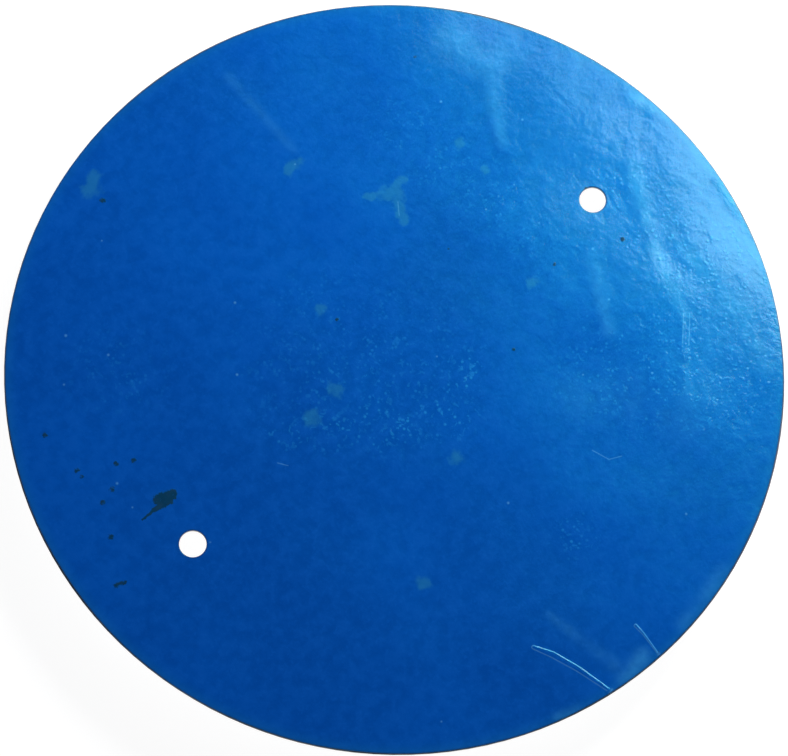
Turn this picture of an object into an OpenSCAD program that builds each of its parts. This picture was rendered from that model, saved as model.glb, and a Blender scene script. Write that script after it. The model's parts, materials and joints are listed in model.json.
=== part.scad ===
// Flat membrane disc air diffuser for ponds and aquariums, in millimetres.
// +Z is up, the two bolt holes lie along X and the hose connector points along -Y.
// The origin is under the middle of the disc, on the surface that the foot stands on.

/* [Disc] */
// Diameter of the disc
disc_d = 260; // [240:5:320]
// Distance between the two bolt holes
bolt_spacing = 180; // [140:5:190]
// Diameter of the bolt holes
bolt_hole_d = 9; // [5:0.5:11]
// Thickness of the base plate
plate_t = 0.8; // [0.6:0.1:2]
// Thickness of the membrane
membrane_t = 0.5; // [0.3:0.1:1]
// Thickness of the adhesive under the membrane
bond_t = 0.2; // [0.1:0.05:0.4]
// Width of the adhesive ring at the rim
bond_w = 8; // [4:1:12]

/* [Air chamber] */
// Diameter of the air chamber
chamber_d = 82; // [80:1:96]
// Height of the air chamber's body
body_h = 17.5; // [17.5:0.5:22]
// Thickness of the bottom cover
cover_t = 2.5; // [2.5:0.1:4]
// Thickness of the rubber foot
foot_t = 2; // [1:0.1:4]
// Thickness of the gasket under the plate
gasket_t = 1; // [1:0.1:2]
// Number of air ports through the plate
port_count = 8; // [4:1:12]

/* [Check valve] */
// How far the poppet lifts
valve_lift = 1.5; // [0.8:0.1:1.5]
// Bore of the valve seat
seat_bore_d = 7; // [5:0.5:8]
// Turns of the valve spring
spring_turns = 3; // [2:0.5:4]

/* [Hose connector] */
// Diameter of the barb's crests
barb_d = 9; // [8:0.25:10]
// Number of crests
barb_crests = 3; // [2:1:4]
// Bore of the hose connector
barb_bore_d = 5; // [3:0.5:5]

/* [Hidden] */
$fn = 96;
over = 1;            // how far a cut runs past a face
chamfer = 0.8;       // edge break on the moulded parts

// levels, from the surface that the foot stands on
z_cover = foot_t;
z_body = z_cover + cover_t;
z_gasket = z_body + body_h;
z_plate = z_gasket + gasket_t;
z_bond = z_plate + plate_t;
z_membrane = z_bond + bond_t;

// disc
disc_r = disc_d / 2;
bolt_x = bolt_spacing / 2;
hole_seal_r = bolt_hole_d / 2 + 7.5;
port_r = 2;
port_ring_r = 16;

// air chamber
chamber_r = chamber_d / 2;
inlet_r = 23.2;                    // space below the valve
plenum_r = 24;                     // space above it, whose ledge holds the valve's carrier
carrier_t = 1.5;
plenum_h = 5.6;
z_plenum = z_gasket - plenum_h;
z_carrier = z_plenum - carrier_t;
fastener_ring_r = 33;
stud_angles = [0 : 60 : 300];
stud_r = 2;
stud_collar_r = 2.8;
stud_collar_t = 0.7;
stud_hole_r = 2.25;
gasket_hole_r = 3.1;
pocket_r = 4.8;                    // room for a nut and its washer
pocket_h = 6;
washer_r = 4.5;
washer_t = 0.6;
nut_flats = 7;
nut_t = 3.2;
stud_end = 0.9;                    // thread that stands past the nut
panel_count = 12;                  // shallow panels round the chamber's wall
panel_w = 7;
panel_depth = 1.2;

// bottom cover
screw_angles = [30, 150, 210, 330];
plug_r = inlet_r - 0.2;            // raised middle that centres the cover in the chamber
plug_h = 1.5;
o_ring_r = 26.2;
o_ring_section = 1.3;
o_groove_w = 1.6;
screw_r = 1.5;
screw_head_r = 2.8;
screw_head_h = 1.4;
screw_len = 7;
screw_socket_flats = 2;
insert_r = 2.1;
insert_l = 5;
insert_hole_l = 6;
foot_r = 39;
foot_hole_r = 3.6;

// check valve
seat_flange_t = 0.8;
seat_flange_r = 7;
seat_plug_r = 5;
poppet_r = 5.5;
poppet_t = 1.2;
stem_r = 1.5;
stem_h = 2.9;
slide_clearance = 0.05;
cage_in_r = 8;
cage_out_r = 10;
bridge_t = 1.2;
boss_r = 2.6;
boss_gap = 0.2;                    // left between poppet and boss at full lift
window_w = 6;
bridge_hole_r = 1.1;
bridge_hole_ring_r = 6.3;
z_poppet = z_plenum + seat_flange_t;
z_spring = z_poppet + poppet_t;
spring_h = 2.6;
z_bridge = z_spring + spring_h;
spring_wire_d = 0.4;
spring_r_low = 4.6;
spring_r_high = 3.5;
spring_sides = 8;
spring_steps = 24;                 // rings in one turn

// hose connector; s is the distance from the disc's axis along -Y
z_barb = z_body + 5.9;
tail_r = 4.2;
tail_bore_r = 4.25;
tail_s = inlet_r + 0.8;
spout_r = 5.9;
spout_s = chamber_r + 4;
flange_s = spout_s + 0.3;
flange_t = 2;
flange_r = 6;
root_r = barb_d / 2 - 0.9;         // radius between the crests
crest_land = 0.9;
crest_pitch = 5.2;
neck_l = 2.2;
barb_s = flange_s + flange_t + neck_l;
barb_end_s = barb_s + barb_crests * crest_pitch;
barb_o_s = 27.5;
barb_o_section = 1.12;
barb_o_r = 3.66;
barb_groove_w = 1.5;
clip_s = min(34.5, chamber_r - 6.5);
clip_t = 1.2;
clip_groove_w = 1.4;
clip_groove_r = 3.4;
clip_half_w = 6.5;
clip_top = 4.6;                    // height of the fork's tips above the barb's axis

// places children round the disc's axis, at the fasteners' radius
module on_ring(angles) {
    for (a = angles) rotate([0, 0, a]) translate([fastener_ring_r, 0, 0]) children();
}

// a flat ring that stands on z
module ring(r_out, r_in, h, z) {
    translate([0, 0, z]) difference() {
        cylinder(h = h, r = r_out);
        translate([0, 0, -over]) cylinder(h = h + 2 * over, r = r_in);
    }
}

// turns a shape made along +Z so that it runs along -Y at the barb's height
module along_barb() {
    translate([0, 0, z_barb]) rotate([90, 0, 0]) children();
}

// both bolt holes, through everything
module bolt_holes() {
    for (x = [-bolt_x, bolt_x])
        translate([x, 0, z_plate - over])
            cylinder(h = plate_t + bond_t + membrane_t + 2 * over, d = bolt_hole_d);
}

module membrane() {
    color("#0b5bb5") difference() {
        translate([0, 0, z_membrane]) cylinder(h = membrane_t, r = disc_r, $fn = 180);
        bolt_holes();
    }
}

module rim_bond() {
    color("#2b3f55") ring(disc_r, disc_r - bond_w, bond_t, z_bond);
}

module hole_seal(side) {
    color("#2b3f55") translate([side * bolt_x, 0, 0])
        ring(hole_seal_r, bolt_hole_d / 2, bond_t, z_bond);
}
module hole_seal_left() hole_seal(-1);
module hole_seal_right() hole_seal(1);

module base_plate() {
    color("#b9bcc0") difference() {
        translate([0, 0, z_plate]) cylinder(h = plate_t, r = disc_r, $fn = 180);
        bolt_holes();
        for (i = [0 : port_count - 1]) rotate([0, 0, i * 360 / port_count])
            translate([port_ring_r, 0, z_plate - over]) cylinder(h = plate_t + 2 * over, r = port_r);
    }
}

z_washer = z_body + pocket_h - washer_t;
z_nut = z_washer - nut_t;

module weld_studs() {
    color("#c6c8cb") on_ring(stud_angles) {
        translate([0, 0, z_nut - stud_end]) cylinder(h = z_plate - z_nut + stud_end, r = stud_r);
        translate([0, 0, z_plate - stud_collar_t]) cylinder(h = stud_collar_t, r = stud_collar_r);
    }
}

module chamber_gasket() {
    color("#1d1d1f") difference() {
        ring(chamber_r, plenum_r, gasket_t, z_gasket);
        on_ring(stud_angles) translate([0, 0, z_gasket - over])
            cylinder(h = gasket_t + 2 * over, r = gasket_hole_r);
    }
}

module stud_washers() {
    color("#c6c8cb") on_ring(stud_angles) ring(washer_r, stud_hole_r, washer_t, z_washer);
}

module stud_nuts() {
    color("#c6c8cb") on_ring(stud_angles) translate([0, 0, z_nut]) difference() {
        cylinder(h = nut_t, d = nut_flats / cos(30), $fn = 6);
        translate([0, 0, -over]) cylinder(h = nut_t + 2 * over, r = stud_r);
    }
}

// outer wall of the chamber with its edges broken, and the spout that the hose connector sits in
module chamber_shell() {
    rotate_extrude() polygon([
        [0, z_body], [chamber_r - chamfer, z_body], [chamber_r, z_body + chamfer],
        [chamber_r, z_gasket - chamfer], [chamber_r - chamfer, z_gasket], [0, z_gasket]]);
    along_barb() translate([0, 0, chamber_r - 2 * panel_depth]) {
        cylinder(h = spout_s - chamber_r + 2 * panel_depth - chamfer, r = spout_r);
        translate([0, 0, spout_s - chamber_r + 2 * panel_depth - chamfer])
            cylinder(h = chamfer, r1 = spout_r, r2 = spout_r - chamfer);
    }
}

module chamber_body() {
    color("#26282b") difference() {
        chamber_shell();
        // space below the valve, and the wider one above it
        translate([0, 0, z_body - over]) cylinder(h = body_h + 2 * over, r = inlet_r);
        translate([0, 0, z_carrier]) cylinder(h = z_gasket - z_carrier + over, r = plenum_r);
        // studs, with pockets from below for their nuts
        on_ring(stud_angles) translate([0, 0, z_body - over]) {
            cylinder(h = body_h + 2 * over, r = stud_hole_r);
            cylinder(h = pocket_h + over, r = pocket_r);
        }
        on_ring(screw_angles) translate([0, 0, z_body - over])
            cylinder(h = insert_hole_l + over, r = insert_r);
        // hose connector's bore and the slot of its clip
        along_barb() translate([0, 0, inlet_r - over])
            cylinder(h = spout_s - inlet_r + 2 * over, r = tail_bore_r);
        translate([-clip_half_w - 0.05, -clip_s - clip_t / 2 - 0.05, z_body - over])
            cube([2 * clip_half_w + 0.1, clip_t + 0.1, z_barb + clip_top - z_body + over + 0.1]);
        // shallow panels round the wall
        for (i = [0 : panel_count - 1]) rotate([0, 0, (i + 0.5) * 360 / panel_count])
            translate([chamber_r - panel_depth, -panel_w / 2, z_body + 3])
                cube([panel_depth + over, panel_w, body_h - 6]);
    }
}

module bottom_cover() {
    color("#26282b") difference() {
        union() {
            rotate_extrude() polygon([
                [0, z_cover], [chamber_r - chamfer, z_cover], [chamber_r, z_cover + chamfer],
                [chamber_r, z_body], [0, z_body]]);
            translate([0, 0, z_body - over]) cylinder(h = plug_h + over, r = plug_r);
        }
        ring(o_ring_r + o_groove_w / 2, o_ring_r - o_groove_w / 2, o_ring_section + over,
             z_body - o_ring_section);
        on_ring(screw_angles) translate([0, 0, z_cover]) {
            translate([0, 0, -over]) cylinder(h = cover_t + 2 * over, r = screw_r + 0.1);
            cylinder(h = screw_head_h, r1 = screw_head_r, r2 = screw_r + 0.1);
        }
    }
}

module cover_o_ring() {
    color("#17181a") translate([0, 0, z_body - o_ring_section / 2]) rotate_extrude()
        translate([o_ring_r, 0]) circle(d = o_ring_section, $fn = 32);
}

module screw_inserts() {
    color("#b8893b") on_ring(screw_angles) ring(insert_r, screw_r, insert_l, z_body);
}

module cover_screws() {
    color("#c6c8cb") on_ring(screw_angles) translate([0, 0, z_cover]) difference() {
        union() {
            cylinder(h = screw_len, r = screw_r);
            cylinder(h = screw_head_h, r1 = screw_head_r - 0.1, r2 = screw_r);
        }
        translate([0, 0, -over])
            cylinder(h = screw_head_h - 0.3 + over, d = screw_socket_flats / cos(30), $fn = 6);
    }
}

module foot_pad() {
    color("#17181a") difference() {
        rotate_extrude() polygon([
            [0, 0], [foot_r - foot_t / 4, 0], [foot_r, foot_t / 4], [foot_r, foot_t], [0, foot_t]]);
        on_ring(screw_angles) translate([0, 0, -over]) cylinder(h = foot_t + 2 * over, r = foot_hole_r);
    }
}

// disc across the chamber, on the ledge between its two spaces
module valve_carrier() {
    color("#26282b") ring(plenum_r - slide_clearance, seat_plug_r, carrier_t, z_carrier);
}

module valve_seat() {
    color("#8c2f24") difference() {
        union() {
            translate([0, 0, z_carrier]) cylinder(h = carrier_t, r = seat_plug_r);
            translate([0, 0, z_plenum]) cylinder(h = seat_flange_t, r = seat_flange_r);
        }
        translate([0, 0, z_carrier - over])
            cylinder(h = carrier_t + seat_flange_t + 2 * over, d = seat_bore_d);
    }
}

module valve_cage() {
    z_boss = z_spring + valve_lift + boss_gap;
    color("#e6e4dc") difference() {
        union() {
            ring(cage_out_r, cage_in_r, z_plate - z_plenum, z_plenum);
            translate([0, 0, z_bridge]) cylinder(h = bridge_t, r = cage_in_r + 0.5);
            translate([0, 0, z_boss]) cylinder(h = z_bridge - z_boss + bridge_t, r = boss_r);
        }
        translate([0, 0, z_boss - over])
            cylinder(h = z_plate - z_boss + 2 * over, r = stem_r + slide_clearance);
        for (a = [0 : 45 : 135]) rotate([0, 0, a])
            translate([-cage_out_r - over, -window_w / 4, z_poppet])
                cube([2 * (cage_out_r + over), window_w / 2, z_boss - z_poppet - 0.1]);
        for (a = [0 : 60 : 300]) rotate([0, 0, a]) translate([bridge_hole_ring_r, 0, z_bridge - over])
            cylinder(h = bridge_t + 2 * over, r = bridge_hole_r);
    }
}

module valve_poppet() {
    color("#d9d6cc") translate([0, 0, z_poppet]) {
        cylinder(h = poppet_t, r = poppet_r);
        cylinder(h = poppet_t + stem_h, r = stem_r);
    }
}

// conical compression spring: rings of points along a helix, joined side to side
module valve_spring() {
    wire_r = spring_wire_d / 2;
    rings = spring_turns * spring_steps;
    points = [for (i = [0 : rings]) let (
            t = i / rings, a = t * spring_turns * 360,
            r = spring_r_low + (spring_r_high - spring_r_low) * t,
            z = z_spring + wire_r + (spring_h - spring_wire_d) * t)
        for (j = [0 : spring_sides - 1]) let (b = j * 360 / spring_sides)
            [(r + wire_r * cos(b)) * cos(a), (r + wire_r * cos(b)) * sin(a), z + wire_r * sin(b)]];
    sides = [for (i = [0 : rings - 1], j = [0 : spring_sides - 1]) let (
            k = (j + 1) % spring_sides, a = i * spring_sides, b = a + spring_sides)
        [a + j, a + k, b + k, b + j]];
    start = [for (j = [spring_sides - 1 : -1 : 0]) j];
    end = [for (j = [0 : spring_sides - 1]) rings * spring_sides + j];
    color("#c6c8cb") polyhedron(points = points, faces = concat([start], sides, [end]));
}

// outline of the hose connector, as radius against distance from the disc's axis
function barb_outline() = concat(
    [[barb_bore_d / 2, tail_s], [tail_r, tail_s],
     [tail_r, barb_o_s - barb_groove_w / 2], [barb_o_r - barb_o_section / 2, barb_o_s - barb_groove_w / 2],
     [barb_o_r - barb_o_section / 2, barb_o_s + barb_groove_w / 2], [tail_r, barb_o_s + barb_groove_w / 2],
     [tail_r, clip_s - clip_groove_w / 2], [clip_groove_r, clip_s - clip_groove_w / 2],
     [clip_groove_r, clip_s + clip_groove_w / 2], [tail_r, clip_s + clip_groove_w / 2],
     [tail_r, flange_s], [flange_r, flange_s], [flange_r, flange_s + flange_t],
     [root_r, flange_s + flange_t], [root_r, barb_s]],
    [for (i = [0 : barb_crests - 1]) let (s = barb_s + i * crest_pitch)
        each [[barb_d / 2, s], [barb_d / 2, s + crest_land], [root_r, s + crest_pitch]]],
    [[barb_bore_d / 2, barb_end_s]]);

module hose_barb() {
    color("#3a3d41") along_barb() rotate_extrude() polygon(barb_outline());
}

module barb_o_ring() {
    color("#17181a") along_barb() translate([0, 0, barb_o_s]) rotate_extrude()
        translate([barb_o_r, 0]) circle(d = barb_o_section, $fn = 32);
}

// fork that drops over the groove in the hose connector's tail
module barb_clip() {
    gap = clip_groove_r + slide_clearance;
    color("#c6c8cb") translate([0, -clip_s, z_barb]) rotate([90, 0, 0])
        translate([0, 0, -clip_t / 2]) linear_extrude(clip_t) difference() {
            translate([-clip_half_w, z_body - z_barb])
                square([2 * clip_half_w, clip_top + z_barb - z_body]);
            circle(r = gap);
            translate([-gap, 0]) square([2 * gap, clip_top + over]);
        }
}

membrane();
rim_bond();
hole_seal_left();
hole_seal_right();
base_plate();
weld_studs();
chamber_gasket();
chamber_body();
stud_washers();
stud_nuts();
bottom_cover();
cover_o_ring();
screw_inserts();
cover_screws();
foot_pad();
valve_carrier();
valve_seat();
valve_cage();
valve_poppet();
valve_spring();
hose_barb();
barb_o_ring();
barb_clip();
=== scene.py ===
"""Looks for the membrane disc air diffuser: its skin as a detailed mesh, procedural materials for every
piece, a plain pale studio and the camera. Lengths are metres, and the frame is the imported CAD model's."""

import json
import math

import bpy
import numpy as np
from mathutils import Matrix, Vector
from mathutils.geometry import delaunay_2d_cdt


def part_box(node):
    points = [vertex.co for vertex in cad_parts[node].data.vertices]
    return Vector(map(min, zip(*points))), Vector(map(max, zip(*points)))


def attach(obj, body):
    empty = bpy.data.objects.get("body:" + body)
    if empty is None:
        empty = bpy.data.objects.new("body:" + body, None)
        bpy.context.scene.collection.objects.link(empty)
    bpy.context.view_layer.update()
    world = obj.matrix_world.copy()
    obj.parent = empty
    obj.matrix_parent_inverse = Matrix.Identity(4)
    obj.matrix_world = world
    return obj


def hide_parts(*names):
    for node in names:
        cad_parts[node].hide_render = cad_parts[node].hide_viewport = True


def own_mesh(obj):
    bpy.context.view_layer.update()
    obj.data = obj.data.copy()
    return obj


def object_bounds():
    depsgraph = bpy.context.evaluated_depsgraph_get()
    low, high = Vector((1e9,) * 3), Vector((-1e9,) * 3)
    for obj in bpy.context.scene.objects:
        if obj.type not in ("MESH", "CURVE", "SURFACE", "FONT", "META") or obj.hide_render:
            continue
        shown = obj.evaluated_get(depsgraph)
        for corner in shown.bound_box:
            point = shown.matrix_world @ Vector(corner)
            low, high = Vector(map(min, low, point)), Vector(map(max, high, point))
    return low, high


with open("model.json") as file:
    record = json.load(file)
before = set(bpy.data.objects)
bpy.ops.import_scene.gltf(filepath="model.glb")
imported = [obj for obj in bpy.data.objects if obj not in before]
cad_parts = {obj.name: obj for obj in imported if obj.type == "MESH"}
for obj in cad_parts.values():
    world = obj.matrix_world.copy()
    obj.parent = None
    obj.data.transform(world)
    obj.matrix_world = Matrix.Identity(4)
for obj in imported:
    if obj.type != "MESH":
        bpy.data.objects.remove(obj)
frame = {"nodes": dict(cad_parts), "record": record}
cad_lo, cad_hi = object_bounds()

MM = 0.001
skin_lo, skin_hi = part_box("membrane")
DISC_R = (skin_hi.x - skin_lo.x) / 2
TOP_Z = skin_hi.z
SKIN_T = skin_hi.z - skin_lo.z
mounts = {m["name"]: m for m in frame["record"]["mounts"]}
BOLT_X = mounts["bolt_holes"]["dims"]["spacing_x_mm"] / 2 * MM
HOLE_R = mounts["bolt_holes"]["dims"]["hole_r_mm"] * MM


# ---------------------------------------------------------------- camera

VIEW_AZIMUTH, VIEW_ELEVATION, VIEW_ROLL = -50.5, 73.5, 8.6  # degrees
VIEW_DISTANCE = 1.30        # from the middle of the disc
DISC_SHARE = 0.991          # of the frame's width that the disc fills
AIM_RIGHT, AIM_DOWN = -0.0006, 0.0030  # point that the lens axis meets, from the disc's middle
SENSOR_W = 36.0             # millimetres


def make_camera():
    a, e, roll = (math.radians(v) for v in (VIEW_AZIMUTH, VIEW_ELEVATION, VIEW_ROLL))
    back = Vector((math.sin(a) * math.cos(e), -math.cos(a) * math.cos(e), math.sin(e)))
    level = back.cross(Vector((0, 0, 1))).normalized() * -1
    upright = back.cross(level)
    right = level * math.cos(roll) + upright * math.sin(roll)
    up = upright * math.cos(roll) - level * math.sin(roll)
    data = bpy.data.cameras.new("camera")
    data.sensor_width = SENSOR_W
    data.lens = SENSOR_W * DISC_SHARE * VIEW_DISTANCE / (2 * DISC_R)
    data.clip_start, data.clip_end = 0.01, 50
    camera = bpy.data.objects.new("camera", data)
    bpy.context.collection.objects.link(camera)
    middle = Vector((0, 0, TOP_Z))
    place = middle + back * VIEW_DISTANCE
    axis = (middle + right * AIM_RIGHT - up * AIM_DOWN - place).normalized()
    side = axis.cross(up).normalized()
    turn = Matrix((side, side.cross(axis), -axis)).transposed()
    camera.matrix_world = Matrix.Translation(place) @ turn.to_4x4()
    bpy.context.scene.camera = camera


make_camera()


# ---------------------------------------------------------------- shaders

class Shader:
    """One material's nodes. Sizes are given in millimetres of the object's own surface."""

    def __init__(self, name, **constants):
        self.material = bpy.data.materials.new(name)
        self.material.use_nodes = True
        self.tree = self.material.node_tree
        self.tree.nodes.clear()
        self.bsdf = self.node("ShaderNodeBsdfPrincipled")
        out = self.node("ShaderNodeOutputMaterial", Surface=self.bsdf.outputs[0])
        out.is_active_output = True
        self.place = self.node("ShaderNodeTexCoord").outputs["Object"]
        self.set(**constants)

    def node(self, kind, settings=None, **inputs):
        made = self.tree.nodes.new(kind)
        for key, value in (settings or {}).items():
            setattr(made, key, value)
        for key, value in inputs.items():
            self.feed(made, key.replace("_", " "), value)
        return made

    def feed(self, node, key, value):
        socket = node.inputs[int(key)] if key.isdigit() else node.inputs[key]
        if isinstance(value, bpy.types.NodeSocket):
            self.tree.links.new(value, socket)
        elif hasattr(value, "__len__") and len(value) == 3 and socket.type == "RGBA":
            socket.default_value = (*value, 1)
        else:
            socket.default_value = value

    def set(self, **inputs):
        for key, value in inputs.items():
            self.feed(self.bsdf, key.replace("_", " "), value)

    def stretched(self, stretch):
        if stretch is None:
            return self.place
        return self.node("ShaderNodeMapping", Vector=self.place, Scale=stretch).outputs[0]

    def noise(self, size_mm, detail=3.0, rough=0.5, stretch=None, bend=0.0):
        made = self.node("ShaderNodeTexNoise", Vector=self.stretched(stretch), Scale=1 / (size_mm * MM),
                         Detail=detail, Roughness=rough, Distortion=bend)
        return made.outputs[0]

    def cells(self, size_mm):
        """Distance from the nearest of many scattered points, in cells."""
        made = self.node("ShaderNodeTexVoronoi", Vector=self.place, Scale=1 / (size_mm * MM))
        return made.outputs["Distance"]

    def attribute(self, name):
        return self.node("ShaderNodeAttribute", {"attribute_name": name}).outputs["Fac"]

    def sum(self, *terms):
        total = terms[0]
        for term in terms[1:]:
            total = self.maths("ADD", total, term)
        return total

    def maths(self, operation, a, b):
        made = self.node("ShaderNodeMath", {"operation": operation})
        self.feed(made, "0", a)
        self.feed(made, "1", b)
        return made.outputs[0]

    def step(self, value, low, high, to_low=0.0, to_high=1.0):
        """Turns value smoothly from to_low at low into to_high at high."""
        made = self.node("ShaderNodeMapRange", {"interpolation_type": "SMOOTHSTEP"}, Value=value)
        for key, number in (("1", low), ("2", high), ("3", to_low), ("4", to_high)):
            self.feed(made, key, number)
        return made.outputs[0]

    def blend(self, share, a, b):
        made = self.node("ShaderNodeMix", {"data_type": "RGBA"})
        self.feed(made, "0", share)
        self.feed(made, "6", a)
        self.feed(made, "7", b)
        return made.outputs[2]

    def ragged(self, name, size_mm, low, high, top):
        """One of the mesh's masks with an uneven edge, from 0 to top."""
        mask = self.attribute(name)
        uneven = self.sum(mask, self.step(self.noise(size_mm, detail=4, rough=0.6), 0.15, 0.85, -0.45, 0.45))
        return self.maths("MULTIPLY", self.step(uneven, low, high, 0.0, top), self.step(mask, 0.02, 0.15))

    def bump(self, height, depth_mm, under=None):
        made = self.node("ShaderNodeBump", Height=height, Distance=depth_mm * MM)
        if under is not None:
            self.feed(made, "Normal", under)
        return made.outputs[0]


# ---------------------------------------------------------------- the skin's marks and painted highlights

def strewn(seed, count, middle, reach, sizes):
    """Small round marks scattered within reach of a middle, each as a stroke of one point. sizes is their
    least and greatest radius."""
    rng = np.random.default_rng(seed)
    marks = []
    for _ in range(count):
        away, heading = reach * math.sqrt(rng.random()), rng.random() * 2 * math.pi
        radius = sizes[0] + (sizes[1] - sizes[0]) * rng.random()
        marks.append([(middle[0] + away * math.cos(heading), middle[1] + away * math.sin(heading), radius)])
    return marks


# Each mark is a stroke through points (x, y, radius) in millimetres on the disc, with the holes along x.
# Dark stains: a drop with a tail beside one bolt hole, and two specks
STAINS = [
    [(-84, 17, 1.9), (-88, 18, 2.6)],
    [(-86, 16, 1.4), (-92, 17, 0.9)],
    [(-92, 17, 0.6), (-97, 17, 0.4)],
    [(88, -17, 0.8)],
    [(34, -21, 0.6)],
]
# Faded stains round the drop and towards the rim, and a few elsewhere
FAINT_STAINS = strewn(3, 7, (-98, 26), 19, (0.8, 1.2)) + [
    [(-118, 6, 1.1), (-115, 5, 0.7)],
    [(-102, 60, 1.0)],
    [(-34, 109, 1.2)],
] + strewn(4, 5, (55, 30), 60, (0.4, 0.7))
FAINT = 0.75                # strength of the faded stains
# Greenish pale patches, where the film has let go of what is under it
PATCHES = [
    [(32, 52, 0.9), (40, 47, 2.6), (47, 48, 1.6)],
    [(42, 46, 2.3), (37, 37, 2.0)],
    [(70, 45, 2.2)],
    [(70, 32, 1.9)],
    [(55, -8, 2.2)],
    [(25, 76, 1.5), (20, 76, 2.2)],
    [(-30, 118, 1.9), (-34, 115, 3.6)],
    [(-32, 6, 3.1)],
    [(-20, 8, 2.7)],
    [(-5, 32, 2.2)],
    [(-6, -36, 2.5)],
    [(-42, -60, 2.5)],
]
# Broad milky streaks, painted highlights and painted glints, and how strong they are
MILKY_STREAKS_AND_GLINTS = [
    ([(95, 75, 5.0), (95, 62, 4.5), (105, 58, 5.5)], 0.9),
    ([(94, 55, 3.0), (80, 35, 1.6)], 0.7),
    ([(76, -14, 2.0), (62, -38, 1.8)], 0.55),
    ([(108, 0, 2.8), (98, -18, 2.5)], 0.9),
    ([(94, -26, 1.5), (86, -50, 2.2)], 0.8),
    ([(102, -32, 2.5), (100, -60, 3.5), (94, -82, 2.4)], 0.8),
    ([(75, -63, 0.9), (67, -70, 0.7)], 0.7),
    ([(27, 114, 1.5), (26, 80, 1.2)], 0.35),
    ([(-19, -95, 1.0), (-14, -123, 2.2)], 0.5),
    ([(-14, -127, 2.4), (-5, -126, 2.2)], 1.0),
    ([(-34, -125, 1.8), (-40, -122, 1.2)], 0.8),
    ([(12, -127, 2.0), (34, -123, 2.3)], 0.5),
    # painted glints at the rim
    ([(126, -24, 1.4), (122, -44, 1.0)], 1.0),
    ([(125, 18, 1.8), (127, 10, 1.2)], 0.9),
    ([(62, -76, 9), (80, -66, 11), (92, -60, 8)], 0.28),
    ([(40, -48, 7), (52, -58, 8)], 0.22),
]
# Thin bright scratches, a painted glint at the rim, and specks of grit
SCRATCHES_AND_RIM_GLINT = [
    [(30, -64, 0.14), (32, -70, 0.12), (36, -72, 0.10)],
    [(-51, 2, 0.15), (-49, -1, 0.12)],
    # painted glint at the rim
    [(126, -25, 0.6), (125, -32, 0.7)],
    [(85, -50, 0.16), (78, -57, 0.14)],
    [(87, -51, 0.16), (79, -59, 0.14)],
    [(40, 43, 0.14), (37, 39, 0.12)],
] + strewn(5, 24, (0, 0), 120, (0.25, 0.45))
# Fields of tiny bubbles under the film, and how dense they are
BUBBLES = [
    ([(-15, 18, 26), (0, 0, 26)], 0.55),
    ([(-43, 9, 5), (-20, -9, 8), (4, -24, 8), (22, -14, 4)], 1.0),
    ([(55, -50, 18), (80, -72, 22)], 0.75),
    ([(100, -10, 14), (104, -50, 16), (94, -80, 10)], 0.8),
    ([(6, -82, 7)], 0.9),
    ([(66, 8, 10), (60, 62, 12)], 0.45),
    ([(-70, 60, 14)], 0.5),
]
# Long blisters where the film has lifted from the rim inwards, and how high they stand
TUNNELS = [
    ([(-30, -100, 0.6), (-27, -106, 1.0), (-24, -115, 0.85), (-21, -128, 0.5)], 0.10),
    ([(0, -117, 0.5), (0, -121, 0.3), (-1, -129, 0.15)], 0.08),
]
TUNNEL_EDGE = 0.26          # width of a blister's steep side, millimetres
# Soft ripples in the film, and how high they stand
RIPPLES = [
    ([(95, 60, 4), (80, 35, 3)], 0.05),
    ([(75, -15, 4), (60, -40, 3)], 0.05),
    ([(108, 0, 4), (92, -28, 3)], 0.07),
    ([(96, -30, 5), (97, -43, 5)], -0.10),
    ([(27, 114, 4), (26, 80, 3)], 0.03),
    ([(84, -50, 1.6), (67, -70, 1.6)], 0.04),
    ([(-67, -100, 2), (-76, -104, 3)], 0.04),
    ([(127, -24, 2.5), (124, -44, 3)], 0.10),
    ([(125, 18, 2.5), (128, 8, 2.5)], 0.08),
]


def nearest(x, y, stroke):
    """Distance from each point to a stroke's middle line, and the stroke's radius there, in millimetres."""
    best = np.full(x.shape, np.inf)
    radius = np.ones(x.shape)
    ends = stroke if len(stroke) > 1 else [stroke[0], stroke[0]]
    for (ax, ay, ar), (bx, by, br) in zip(ends, ends[1:]):
        dx, dy = bx - ax, by - ay
        length2 = max(dx * dx + dy * dy, 1e-9)
        t = np.clip(((x - ax) * dx + (y - ay) * dy) / length2, 0, 1)
        d = np.hypot(x - ax - t * dx, y - ay - t * dy)
        r = ar + (br - ar) * t
        closer = d - r < best - radius
        best, radius = np.where(closer, d, best), np.where(closer, r, radius)
    return best, radius


def smooth(t):
    t = np.clip(t, 0, 1)
    return t * t * (3 - 2 * t)


def painted(x, y, strokes, soft):
    """1 inside the strokes and 0 outside, turning over soft times the radius on each side of their edge."""
    mask = np.zeros(x.shape)
    for stroke in strokes:
        line, strength = stroke if isinstance(stroke, tuple) else (stroke, 1.0)
        d, r = nearest(x, y, line)
        mask = np.maximum(mask, strength * smooth((r * (1 + soft) - d) / (2 * soft * r)))
    return mask


# ---------------------------------------------------------------- the skin's mesh

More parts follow.
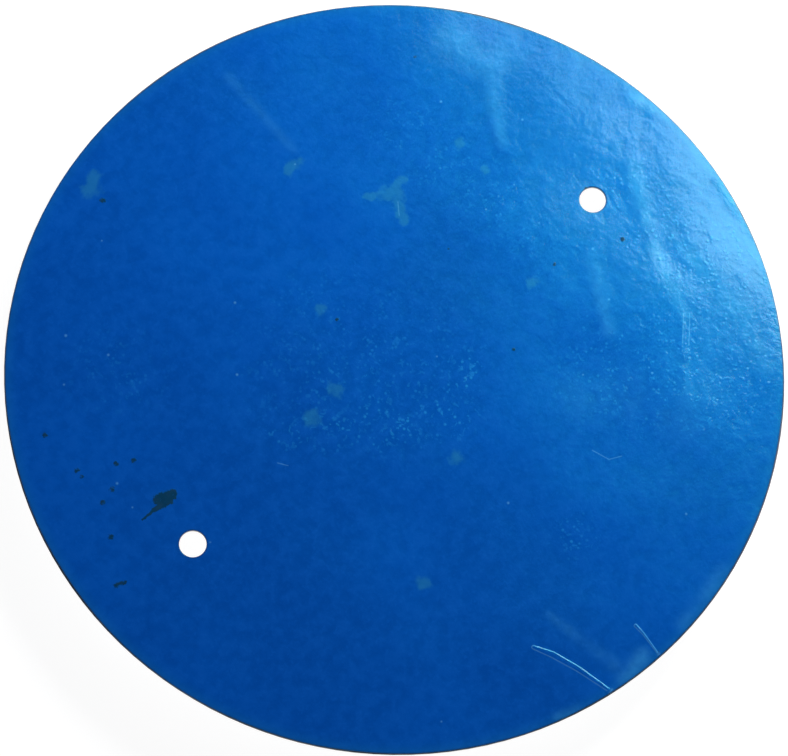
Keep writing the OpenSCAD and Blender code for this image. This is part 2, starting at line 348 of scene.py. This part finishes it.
GRID = 1.4                  # spacing of the mesh, millimetres
FINE = 0.4                  # spacing near small marks
FINEST = 0.2                # spacing at blisters and scratches
EDGE_RINGS = (0.15, 0.4, 0.9)  # rings of points beside the rounded edges, millimetres
EDGE_ROUND = 0.22 * MM      # rounding of the film's cut edges
EDGE_TURNS = (30, 60, 90)   # degrees at which the rounding has a ring
RIM_POINTS, HOLE_POINTS = 900, 96
NEAR_LINE, NEAR_STAIN, NEAR_EDGE = 0.6, 0.8, 0.3  # how far the finer mesh reaches past them, millimetres
MERGE = 1e-7                # points closer than this become one, metres
BLISTER_DOME = 0.25         # share of its height that a blister loses from middle to side
LEFT_ON_PLATE = 0.15 * MM   # rise that the film's underside doesn't follow
SHARP_EDGE = 50             # degrees
WAVES = 26                  # how many long waves the film's unevenness is the sum of
WAVE_LENGTHS = (24.0, 110.0)  # millimetres
WAVE_SLOPE = 0.0030         # steepest slope of each wave
RIM_WOBBLE = 0.25 * MM      # how uneven the hand-trimmed rim is


def lattice(spacing, reach):
    """Points of a triangular grid over a square of half-width reach, in millimetres."""
    rows = np.arange(-reach, reach + spacing, spacing * math.sqrt(3) / 2)
    columns = np.arange(-reach, reach + spacing, spacing)
    x, y = np.meshgrid(columns, rows)
    x[1::2] += spacing / 2
    return np.column_stack([x.ravel(), y.ravel()])


def rim_radius(angle):
    """The rim's radius at an angle: never more than the plate's, as the terms add up to 2.9 at most."""
    wobble = (np.cos(3 * angle + 0.6) + 0.7 * np.cos(5 * angle + 2.1) + 0.5 * np.cos(8 * angle + 4.4)
              + 0.4 * np.cos(13 * angle + 1.2) + 0.3 * np.cos(21 * angle + 3.3))
    return DISC_R - RIM_WOBBLE + RIM_WOBBLE / 2.9 * wobble


def film_height(x, y):
    """Height of the film's face above flat, in millimetres."""
    rng = np.random.default_rng(7)
    h = np.zeros(x.shape)
    for _ in range(WAVES):
        length = WAVE_LENGTHS[0] * (WAVE_LENGTHS[1] / WAVE_LENGTHS[0]) ** rng.random()
        heading, phase = rng.random(2) * 2 * math.pi
        k = 2 * math.pi / length
        h += WAVE_SLOPE / k * np.sin(k * (x * math.cos(heading) + y * math.sin(heading)) + phase)
    for stroke, rise in RIPPLES:
        d, r = nearest(x, y, stroke)
        h += rise * np.exp(-(d / r) ** 2)
    for stroke, rise in TUNNELS:
        d, r = nearest(x, y, stroke)
        dome = 1 - BLISTER_DOME * np.clip(d / r, 0, 1) ** 2
        h += rise * smooth((r + TUNNEL_EDGE / 2 - d) / TUNNEL_EDGE) * dome
    return h


def hole_radius(angle):
    return HOLE_R + 0 * angle


def loops():
    """The film's outlines: centre, radius at an angle, number of points, and the side that is film, which
    is 1 for inside the outline and -1 for outside."""
    holes = [((x, 0), hole_radius, HOLE_POINTS, -1) for x in (-BOLT_X, BOLT_X)]
    return [((0, 0), rim_radius, RIM_POINTS, 1)] + holes


def close_to(points, strokes, reach):
    """Which points, in millimetres, lie within reach of any stroke."""
    close = np.zeros(len(points), bool)
    for stroke in strokes:
        d, r = nearest(points[:, 0], points[:, 1], stroke)
        close |= d < r + reach
    return close


def scattered_points():
    """Points of the film's flat part, finer where its marks are small."""
    reach = DISC_R / MM
    stains, lines = STAINS + FAINT_STAINS, SCRATCHES_AND_RIM_GLINT + [line for line, _ in TUNNELS]
    coarse, fine, finest = lattice(GRID, reach), lattice(FINE, reach), lattice(FINEST, reach)
    finest = finest[close_to(finest, lines, NEAR_LINE)]
    fine = fine[close_to(fine, stains, NEAR_STAIN) & ~close_to(fine, lines, NEAR_LINE + FINE / 2)]
    coarse = coarse[~close_to(coarse, stains, NEAR_STAIN + GRID / 2)
                    & ~close_to(coarse, lines, NEAR_LINE + GRID / 2)]
    points = np.vstack([coarse, fine, finest]) * MM
    clear = (EDGE_RINGS[-1] + NEAR_EDGE) * MM
    keep = np.hypot(*points.T) < rim_radius(np.arctan2(points[:, 1], points[:, 0])) - EDGE_ROUND - clear
    for x in (-BOLT_X, BOLT_X):
        keep &= np.hypot(points[:, 0] - x, points[:, 1]) > HOLE_R + EDGE_ROUND + clear
    return points[keep]


def ring_points(centre, radius, count, inset):
    angle = np.arange(count) * 2 * math.pi / count
    r = radius(angle) - inset
    return np.column_stack([centre[0] + r * np.cos(angle), centre[1] + r * np.sin(angle)])


def flat_part():
    """The film inside its rounded edges, as points and triangles. The outlines' own rings come first."""
    rings, extra, edges, start = [], [scattered_points()], [], 0
    for centre, radius, count, side in loops():
        rings.append(ring_points(centre, radius, count, side * EDGE_ROUND))
        for gap in EDGE_RINGS:
            extra.append(ring_points(centre, radius, count, side * (EDGE_ROUND + gap * MM)))
        edges += [(start + i, start + (i + 1) % count) for i in range(count)]
        start += count
    given = [Vector(p) for p in np.vstack(rings + extra)]
    points, _, faces, _, _, _ = delaunay_2d_cdt(given, edges, [], 0, MERGE)
    flat = np.array([tuple(p) for p in points])
    middle = np.array([flat[list(f)].mean(axis=0) for f in faces])
    solid = np.ones(len(faces), bool)
    for x in (-BOLT_X, BOLT_X):
        solid &= np.hypot(middle[:, 0] - x, middle[:, 1]) > HOLE_R + EDGE_ROUND * 0.9
    return flat, [f for f, kept in zip(faces, solid) if kept]


def cut_sides(top, under_z):
    """The rounded edge and cut side of each outline, from the top face's ring down to the underside's."""
    verts, polygons = [], []
    total = len(top)
    made, start = 2 * total, 0
    for centre, radius, count, side in loops():
        own = slice(start, start + count)
        levels = []
        for turn in np.radians(EDGE_TURNS):
            inset, drop = 1 - math.sin(turn), 1 - math.cos(turn)
            levels.append((side * EDGE_ROUND * inset, top[own, 2] - EDGE_ROUND * drop))
        levels.append((0.0, under_z[own]))
        previous = np.arange(start, start + count)
        for inset, z in levels:
            verts.append(np.column_stack([ring_points(centre, radius, count, inset), z]))
            ring = np.arange(made, made + count)
            polygons += strip(previous, ring, side)
            previous, made = ring, made + count
        polygons += strip(previous, np.arange(total + start, total + start + count), side)
        start += count
    return verts, polygons


def make_skin():
    flat, faces = flat_part()
    total = len(flat)
    rise = film_height(*(flat.T / MM)) * MM
    under_z = TOP_Z - SKIN_T + np.maximum(rise - LEFT_ON_PLATE, 0)
    top = np.column_stack([flat, TOP_Z + rise])
    under = np.column_stack([flat, under_z])
    sides, side_polygons = cut_sides(top, under_z)
    verts = np.vstack([top, under] + sides)
    polygons = [tuple(f) for f in faces] + [tuple(v + total for v in reversed(f)) for f in faces]
    mesh = bpy.data.meshes.new("membrane_film")
    mesh.from_pydata(verts.tolist(), [], polygons + side_polygons)
    mesh.polygons.foreach_set("use_smooth", [True] * len(mesh.polygons))
    paint(mesh, verts)
    mesh.set_sharp_from_angle(angle=math.radians(SHARP_EDGE))
    mesh.validate()
    skin = bpy.data.objects.new("membrane_film", mesh)
    bpy.context.collection.objects.link(skin)
    return skin


def strip(a, b, side):
    """Quads between two closed rings of vertices, facing away from the film's material."""
    quads = []
    for i in range(len(a)):
        j = (i + 1) % len(a)
        quad = (a[i], b[i], b[j], a[j])
        quads.append(tuple(int(v) for v in (quad if side > 0 else quad[::-1])))
    return quads


EDGE_SHADE_WIDTH, RIM_SHEEN_WIDTH = 0.28, 2.2  # of the painted shade along the cut edges and of the painted sheen along the rim, millimetres


def paint(mesh, verts):
    """Stores the masks of the marks, the painted highlights and the painted shade on the mesh, for the
    skin's shader.
    """
    x, y = verts[:, 0] / MM, verts[:, 1] / MM
    r = np.hypot(x, y)
    to_rim = rim_radius(np.arctan2(y, x)) / MM - r
    to_hole = np.minimum(*(np.hypot(x - c / MM, y) for c in (-BOLT_X, BOLT_X))) - HOLE_R / MM
    # painted highlight along the blisters' steep sides
    blister_highlight = np.zeros(x.shape)
    for stroke, _ in TUNNELS:
        d, w = nearest(x, y, stroke)
        blister_highlight = np.maximum(blister_highlight, np.exp(-((d - w) / (0.5 * TUNNEL_EDGE)) ** 2))
    masks = {
        "stain": painted(x, y, STAINS + [(stroke, FAINT) for stroke in FAINT_STAINS], 0.5),
        "patch": painted(x, y, PATCHES, 0.8),
        # milky streaks with painted highlights and glints
        "streak_and_glint": painted(x, y, MILKY_STREAKS_AND_GLINTS, 1.0),
        "scratch_and_glint": painted(x, y, SCRATCHES_AND_RIM_GLINT, 0.6),
        "bubbles": painted(x, y, BUBBLES, 0.8),
        "blister_highlight": blister_highlight,
        # painted shade along the cut edges
        "cut": np.exp(-np.minimum(to_rim, to_hole) / EDGE_SHADE_WIDTH),
        # painted sheen along the rim
        "rim_sheen": np.exp(-(to_rim / RIM_SHEEN_WIDTH) ** 2),
    }
    for name, values in masks.items():
        layer = mesh.attributes.new(name, "FLOAT", "POINT")
        layer.data.foreach_set("value", values.astype(np.float32))


# ---------------------------------------------------------------- materials

def film_material():
    """Blue polyurethane film: clouded colour, marks of use, painted highlights and glints, painted shade
    along its cut edges, and a hazy sheen over a faint gloss.
    """
    s = Shader("film", IOR=1.58, Specular_Tint=(0.02, 0.85, 1.0), Coat_Weight=0.21, Coat_Roughness=0.09)
    clouds = s.noise(60, detail=2)
    mottle = s.noise(5, detail=4, rough=0.6)
    grain = s.noise(1.5, detail=3, rough=0.6, bend=0.4)
    wisps = s.noise(9, detail=5, rough=0.65, bend=0.6)

    colour = s.blend(s.step(clouds, 0.3, 0.7), (0.0, 0.066, 0.405), (0.0, 0.080, 0.475))
    colour = s.blend(s.step(mottle, 0.42, 0.68, 0.0, 0.36), colour, (0.004, 0.100, 0.53))
    colour = s.blend(s.step(grain, 0.50, 0.66, 0.0, 0.30), colour, (0.004, 0.105, 0.54))
    colour = s.blend(s.step(mottle, 0.34, 0.52, 0.24, 0.0), colour, (0.0, 0.050, 0.33))

    field = s.maths("MULTIPLY", s.attribute("bubbles"), s.step(s.noise(8, detail=2), 0.38, 0.58, 0.25, 1.0))
    flecks = s.step(s.noise(1.9, detail=2, rough=0.55, bend=0.5), 0.55, 0.68)
    dots = s.step(s.cells(2.3), 0.30, 0.12)
    lit = s.maths("MULTIPLY", s.maths("MAXIMUM", s.maths("MULTIPLY", flecks, 0.7), dots), field)
    colour = s.blend(s.maths("MULTIPLY", lit, 0.55), colour, (0.015, 0.26, 0.68))

    # painted highlights: lighter streaks and rim glints, partly milky haze in the film
    streak_and_glint = s.maths("MULTIPLY", s.attribute("streak_and_glint"), s.step(wisps, 0.3, 0.7, 0.15, 0.50))
    colour = s.blend(streak_and_glint, colour, (0.04, 0.31, 0.72))
    patch = s.ragged("patch", 3.0, 0.25, 1.0, 0.55)
    colour = s.blend(patch, colour, (0.016, 0.185, 0.42))
    # painted sheen: a paler band along the rim
    colour = s.blend(s.maths("MULTIPLY", s.attribute("rim_sheen"), 0.25), colour, (0.01, 0.18, 0.45))
    stain = s.ragged("stain", 1.1, 0.35, 0.8, 0.92)
    grime = s.blend(s.step(s.noise(2.2, detail=3), 0.45, 0.65), (0.001, 0.001, 0.034), (0.006, 0.006, 0.042))
    colour = s.blend(stain, colour, grime)
    # scratches and specks of grit, with a painted glint at the rim, in paler blue
    colour = s.blend(s.maths("MULTIPLY", s.attribute("scratch_and_glint"), 0.42), colour, (0.10, 0.42, 0.80))
    # painted highlight along the blisters' steep sides
    colour = s.blend(s.maths("MULTIPLY", s.attribute("blister_highlight"), 0.65), colour, (0.08, 0.36, 0.78))
    # painted shade: a near-black line along the rim and the holes' cut edges
    colour = s.blend(s.maths("MULTIPLY", s.attribute("cut"), 0.85), colour, (0.010, 0.018, 0.035))

    rough = s.sum(0.28, s.maths("MULTIPLY", stain, 0.35))
    face = s.bump(mottle, 0.09)
    face = s.bump(wisps, 0.06, face)
    face = s.bump(grain, 0.03, face)
    face = s.bump(lit, 0.03, face)
    face = s.bump(stain, 0.02, face)
    s.set(Base_Color=colour, Roughness=rough, Normal=face, Coat_Normal=face)
    return s.material


def sheet_steel_material():
    """Rolled stainless sheet, its grain along x."""
    s = Shader("sheet_steel", Metallic=1.0)
    grain = s.noise(0.5, detail=4, rough=0.6, stretch=(0.02, 1.0, 1.0))
    clouds = s.noise(30, detail=3)
    water = s.step(s.noise(16, detail=4, rough=0.6), 0.55, 0.62)
    colour = s.blend(s.step(clouds, 0.3, 0.7), (0.50, 0.51, 0.52), (0.60, 0.60, 0.60))
    colour = s.blend(s.maths("MULTIPLY", water, 0.18), colour, (0.42, 0.40, 0.36))
    rough = s.sum(s.step(grain, 0.3, 0.7, 0.24, 0.36), s.maths("MULTIPLY", water, 0.08))
    s.set(Base_Color=colour, Roughness=rough, Normal=s.bump(grain, 0.006))
    return s.material


def fastener_material(name, tone, grain_mm):
    """Turned or drawn stainless steel."""
    s = Shader(name, Metallic=1.0)
    grain = s.noise(grain_mm, detail=3, stretch=(1.0, 1.0, 6.0))
    colour = s.blend(s.step(s.noise(4, detail=3), 0.35, 0.7), tuple(c * 0.82 for c in tone), tone)
    s.set(Base_Color=colour, Roughness=s.step(grain, 0.3, 0.7, 0.22, 0.38), Normal=s.bump(grain, 0.004))
    return s.material


def moulded_material(name, tone, worn, texture_mm, rough):
    """Injection-moulded plastic: spark-eroded texture, faint flow marks and dusty scuffs."""
    s = Shader(name, IOR=1.49)
    spark = s.noise(texture_mm, detail=2, rough=0.6)
    flow = s.noise(14, detail=3, stretch=(1.0, 1.0, 2.5), bend=0.5)
    scuff = s.step(s.noise(5, detail=5, rough=0.7), 0.55, 0.72, 0.0, 0.55)
    colour = s.blend(s.step(flow, 0.3, 0.7), tone, tuple(c * 1.35 for c in tone))
    colour = s.blend(scuff, colour, worn)
    surface = s.sum(s.step(flow, 0.3, 0.7, rough - 0.06, rough + 0.05), s.maths("MULTIPLY", scuff, 0.12))
    face = s.bump(flow, 0.02)
    s.set(Base_Color=colour, Roughness=surface, Normal=s.bump(spark, 0.012, face))
    return s.material


def rubber_material(name, tone, bloom):
    """Moulded rubber with a faint pale bloom."""
    s = Shader(name, IOR=1.5, Specular_IOR_Level=0.35)
    dust = s.step(s.noise(7, detail=5, rough=0.65), 0.45, 0.75, 0.0, 0.6)
    fine = s.noise(0.45, detail=3)
    colour = s.blend(dust, tone, bloom)
    s.set(Base_Color=colour, Roughness=s.step(fine, 0.3, 0.7, 0.72, 0.86), Normal=s.bump(fine, 0.015))
    return s.material


def adhesive_material():
    """Cured dark bonding layer, slightly lumpy."""
    s = Shader("adhesive", IOR=1.5)
    lumps = s.noise(1.2, detail=3)
    colour = s.blend(s.step(lumps, 0.35, 0.7), (0.030, 0.050, 0.080), (0.060, 0.085, 0.120))
    s.set(Base_Color=colour, Roughness=s.step(lumps, 0.3, 0.7, 0.35, 0.55), Normal=s.bump(lumps, 0.05))
    return s.material


STEEL, WIRE, BRASS = (0.62, 0.62, 0.63), (0.55, 0.55, 0.57), (0.66, 0.45, 0.16)
fasteners = fastener_material("stainless_fasteners", STEEL, 0.35)
spring_steel = fastener_material("spring_steel", WIRE, 0.25)
moulding = moulded_material("black_polypropylene", (0.020, 0.021, 0.023), (0.060, 0.062, 0.064), 0.35, 0.50)
nylon = moulded_material("dark_grey_nylon", (0.045, 0.050, 0.056), (0.110, 0.115, 0.120), 0.25, 0.42)
acetal = moulded_material("natural_acetal", (0.60, 0.585, 0.54), (0.50, 0.48, 0.43), 0.25, 0.34)
black_rubber = rubber_material("black_rubber", (0.012, 0.012, 0.013), (0.040, 0.040, 0.040))
red_silicone = rubber_material("red_silicone", (0.30, 0.035, 0.022), (0.36, 0.080, 0.060))
adhesive = adhesive_material()

NODE_MATERIALS = {
    "rim_bond": adhesive, "hole_seal_left": adhesive, "hole_seal_right": adhesive,
    "base_plate": sheet_steel_material(),
    "weld_studs": fasteners, "stud_washers": fasteners, "stud_nuts": fasteners, "cover_screws": fasteners,
    "screw_inserts": fastener_material("turned_brass", BRASS, 0.3),
    "chamber_body": moulding, "bottom_cover": moulding,
    "chamber_gasket": black_rubber, "cover_o_ring": black_rubber, "barb_o_ring": black_rubber,
    "foot_pad": black_rubber, "valve_seat": red_silicone,
    "valve_cage": acetal, "valve_poppet": acetal,
    "valve_spring": spring_steel, "barb_clip": spring_steel,
    "hose_barb": nylon, "valve_carrier": moulding,
}
for name, material in NODE_MATERIALS.items():
    mesh = frame["nodes"][name].data
    mesh.materials.clear()
    mesh.materials.append(material)


def make_spring():
    """The valve's spring as a piece with its own mesh on the diffuser's body, its top end held in the cage.
    """
    node = frame["nodes"]["valve_spring"]
    spring = bpy.data.objects.new("valve_spring_coil", node.data.copy())
    spring.matrix_world = node.matrix_world
    bpy.context.collection.objects.link(spring)
    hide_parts("valve_spring")
    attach(spring, "diffuser")
    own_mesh(spring)


make_spring()

skin = make_skin()
skin.data.materials.append(film_material())
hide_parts("membrane")
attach(skin, "diffuser")


# ---------------------------------------------------------------- studio

FLOOR_SIZE = 24.0
FLOOR_GLOW = 0.90
PALE_SKY, DARK_SKY = (0.92, 0.93, 0.94), (0.05, 0.06, 0.08)
SKY_FROM, SKY_TO = 0.05, 0.50  # height over which the sky darkens, as a share of straight up
WINDOW_Z = 0.50


def make_floor():
    s = Shader("pale_floor", Roughness=0.9, Specular_IOR_Level=0.1, Emission_Color=(1, 1, 1),
               Emission_Strength=FLOOR_GLOW)
    s.set(Base_Color=s.blend(s.step(s.noise(400), 0.3, 0.7), (0.24, 0.24, 0.24), (0.26, 0.26, 0.26)))
    mesh = bpy.data.meshes.new("floor")
    h = FLOOR_SIZE / 2
    mesh.from_pydata([(-h, -h, 0), (h, -h, 0), (h, h, 0), (-h, h, 0)], [], [(0, 1, 2, 3)])
    mesh.materials.append(s.material)
    floor = bpy.data.objects.new("floor", mesh)
    floor.location.z = cad_lo.z
    bpy.context.collection.objects.link(floor)


def make_panel(name, x, y, z, radiance, aim=None):
    """A soft light over the ranges x and y at height z, facing down or towards the point aim."""
    data = bpy.data.lights.new(name, "AREA")
    data.shape = "RECTANGLE"
    data.size, data.size_y = x[1] - x[0], y[1] - y[0]
    data.energy = radiance * math.pi * data.size * data.size_y
    panel = bpy.data.objects.new(name, data)
    panel.location = (sum(x) / 2, sum(y) / 2, z)
    if aim is not None:
        panel.rotation_mode = "QUATERNION"
        panel.rotation_quaternion = (panel.location - Vector(aim)).to_track_quat("Z", "Y")
    bpy.context.collection.objects.link(panel)


def make_world():
    """Pale all round and darker overhead, so that the disc doesn't mirror a bright ceiling."""
    world = bpy.data.worlds.new("studio")
    world.use_nodes = True
    tree = world.node_tree
    background = tree.nodes["Background"]
    direction = tree.nodes.new("ShaderNodeTexCoord").outputs["Generated"]
    height = tree.nodes.new("ShaderNodeSeparateXYZ")
    tree.links.new(direction, height.inputs[0])
    ramp = tree.nodes.new("ShaderNodeValToRGB")
    ramp.color_ramp.interpolation = "EASE"
    for stop, place, tone in zip(ramp.color_ramp.elements, (SKY_FROM, SKY_TO), (PALE_SKY, DARK_SKY)):
        stop.position = place
        stop.color = (*tone, 1)
    tree.links.new(height.outputs["Z"], ramp.inputs[0])
    tree.links.new(ramp.outputs[0], background.inputs[0])
    bpy.context.scene.world = world


make_floor()
make_world()
make_panel("window", (0.257, 0.757), (-0.055, 0.115), WINDOW_Z, 15)
make_panel("curtain", (0.26, 0.76), (0.115, 0.415), WINDOW_Z, 6)
make_panel("fill", (-1.9, -0.7), (-1.5, -0.3), 1.40, 0.8, aim=(0, 0, 0))
bpy.context.scene.view_settings.view_transform = "Standard"
